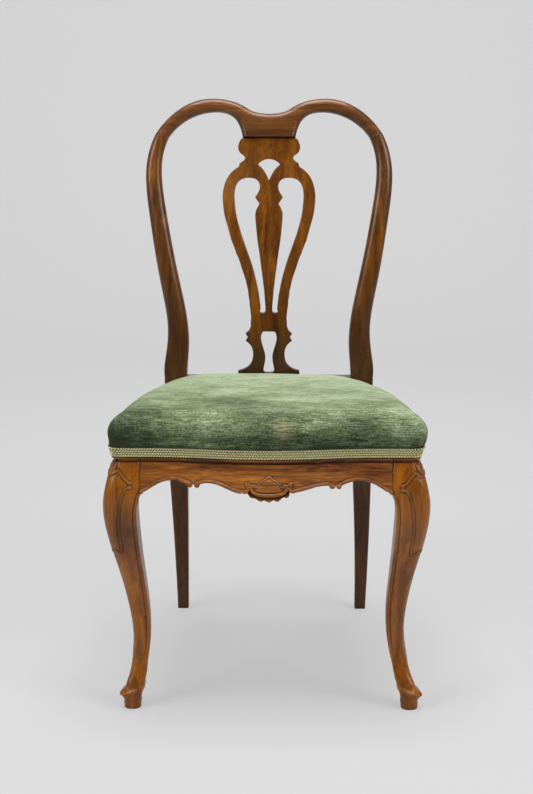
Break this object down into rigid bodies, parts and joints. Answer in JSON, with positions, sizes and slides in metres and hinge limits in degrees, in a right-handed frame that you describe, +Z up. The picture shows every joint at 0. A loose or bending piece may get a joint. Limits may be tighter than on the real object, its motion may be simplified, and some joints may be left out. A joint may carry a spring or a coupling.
{
  "type": "upholstered chair",
  "caption": "Carved walnut side chair with cabriole front legs, raked rear posts, a pierced splat in an arched back and a stuffed-over velvet seat edged with braid.",
  "frame": {"origin": "on the floor under the middle of the chair's bounding box", "axes": "+X to the viewer's right, +Y to the back of the chair, +Z up; the chair faces -Y"},
  "size_m": [0.5344, 0.5498, 0.9816],
  "materials": {
    "walnut": "waxed",
    "beech": "raw",
    "steel": "blued",
    "jute_webbing": "woven",
    "hessian": "woven",
    "horsehair": "matted",
    "linen": "woven",
    "velvet": "pile",
    "braid": "woven"
  },
  "bodies": {
    "root": {"front_leg_left": "walnut", "front_leg_right": "walnut", "rear_post_left": "walnut", "rear_post_right": "walnut", "front_seat_rail": "walnut", "side_seat_rail_left": "walnut", "side_seat_rail_right": "walnut", "rear_seat_rail": "walnut", "splat_shoe": "walnut", "back_splat": "walnut", "crest_rail": "walnut", "corner_block_front_left": "beech", "corner_block_front_right": "beech", "corner_block_rear_left": "beech", "corner_block_rear_right": "beech", "tenon_pegs": "beech", "corner_block_screws": "steel", "webbing_tacks": "steel", "webbing_lengthwise": "jute_webbing", "webbing_crosswise": "jute_webbing", "hessian_base": "hessian", "stuffing_pad": "horsehair", "linen_undercover": "linen", "velvet_cover": "velvet", "braid_trim": "braid"}
  },
  "joints": []
}
